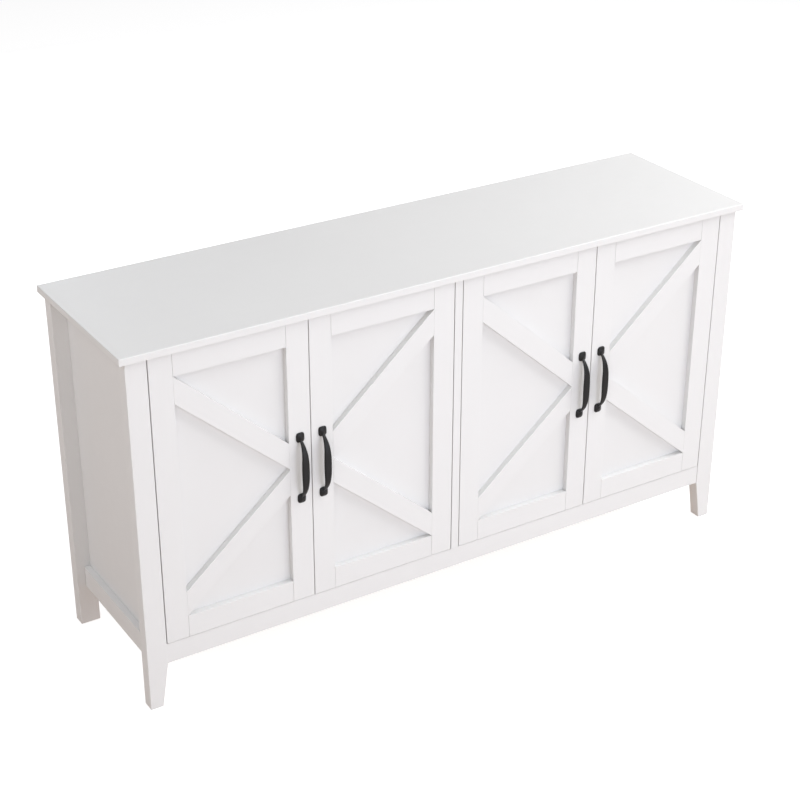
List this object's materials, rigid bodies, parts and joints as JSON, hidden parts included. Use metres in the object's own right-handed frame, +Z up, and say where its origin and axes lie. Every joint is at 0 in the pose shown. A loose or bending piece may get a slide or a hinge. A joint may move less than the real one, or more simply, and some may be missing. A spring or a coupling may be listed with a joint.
{
  "type": "sideboard buffet",
  "caption": "White farmhouse sideboard buffet: inset framed doors with diagonal braces in X pairs, black arch pulls, shelves behind, and tapered front legs.",
  "frame": {"origin": "on the floor, under the middle of the whole box with the pulls included", "axes": "+X to the right of a person who faces the doors, +Y from the doors to the back, +Z up"},
  "size_m": [1.5, 0.4158, 0.8],
  "materials": {
    "painted_top": "satin white paint on board",
    "painted_frame": "satin white paint on solid wood",
    "painted_panel": "satin white paint on board",
    "faced_board": "white faced particle board",
    "back_hardboard": "thin white lacquered hardboard",
    "black_metal": "satin black powder coat",
    "hinge_steel": "nickel plated",
    "steel_screw": "zinc plated",
    "dowel_wood": "bare beech"
  },
  "bodies": {
    "carcass": {"top_board": "painted_top", "front_left_leg": "painted_frame", "front_right_leg": "painted_frame", "rear_left_leg": "painted_frame", "rear_right_leg": "painted_frame", "left_side_panel": "painted_panel", "right_side_panel": "painted_panel", "left_side_rail": "painted_frame", "right_side_rail": "painted_frame", "front_bottom_rail": "painted_frame", "rear_bottom_rail": "painted_frame", "bottom_board": "faced_board", "centre_partition": "painted_frame", "left_back_panel": "back_hardboard", "right_back_panel": "back_hardboard", "left_shelf": "faced_board", "right_shelf": "faced_board", "shelf_pins": "steel_screw", "hinge_arms": "hinge_steel", "carcass_dowels": "dowel_wood"},
    "door_1": {"door_1_hinge_stile": "painted_frame", "door_1_meeting_stile": "painted_frame", "door_1_top_rail": "painted_frame", "door_1_bottom_rail": "painted_frame", "door_1_panel": "painted_panel", "door_1_upper_brace": "painted_frame", "door_1_lower_brace": "painted_frame", "door_1_handle": "black_metal", "door_1_handle_screws": "steel_screw", "door_1_hinge_cups": "hinge_steel"},
    "door_2": {"door_2_hinge_stile": "painted_frame", "door_2_meeting_stile": "painted_frame", "door_2_top_rail": "painted_frame", "door_2_bottom_rail": "painted_frame", "door_2_panel": "painted_panel", "door_2_upper_brace": "painted_frame", "door_2_lower_brace": "painted_frame", "door_2_handle": "black_metal", "door_2_handle_screws": "steel_screw", "door_2_hinge_cups": "hinge_steel"},
    "door_3": {"door_3_hinge_stile": "painted_frame", "door_3_meeting_stile": "painted_frame", "door_3_top_rail": "painted_frame", "door_3_bottom_rail": "painted_frame", "door_3_panel": "painted_panel", "door_3_upper_brace": "painted_frame", "door_3_lower_brace": "painted_frame", "door_3_handle": "black_metal", "door_3_handle_screws": "steel_screw", "door_3_hinge_cups": "hinge_steel"},
    "door_4": {"door_4_hinge_stile": "painted_frame", "door_4_meeting_stile": "painted_frame", "door_4_top_rail": "painted_frame", "door_4_bottom_rail": "painted_frame", "door_4_panel": "painted_panel", "door_4_upper_brace": "painted_frame", "door_4_lower_brace": "painted_frame", "door_4_handle": "black_metal", "door_4_handle_screws": "steel_screw", "door_4_hinge_cups": "hinge_steel"}
  },
  "joints": [
    {"name": "door_1_hinge", "type": "hinge", "parent": "carcass", "child": "door_1", "pos_m": [-0.6903, -0.1834, 0.46525], "axis": [0, 0, -1], "range_deg": [0, 105]},
    {"name": "door_2_hinge", "type": "hinge", "parent": "carcass", "child": "door_2", "pos_m": [-0.011, -0.1834, 0.46525], "axis": [0, 0, 1], "range_deg": [0, 85]},
    {"name": "door_3_hinge", "type": "hinge", "parent": "carcass", "child": "door_3", "pos_m": [0.011, -0.1834, 0.46525], "axis": [0, 0, -1], "range_deg": [0, 85]},
    {"name": "door_4_hinge", "type": "hinge", "parent": "carcass", "child": "door_4", "pos_m": [0.6903, -0.1834, 0.46525], "axis": [0, 0, 1], "range_deg": [0, 105]}
  ]
}
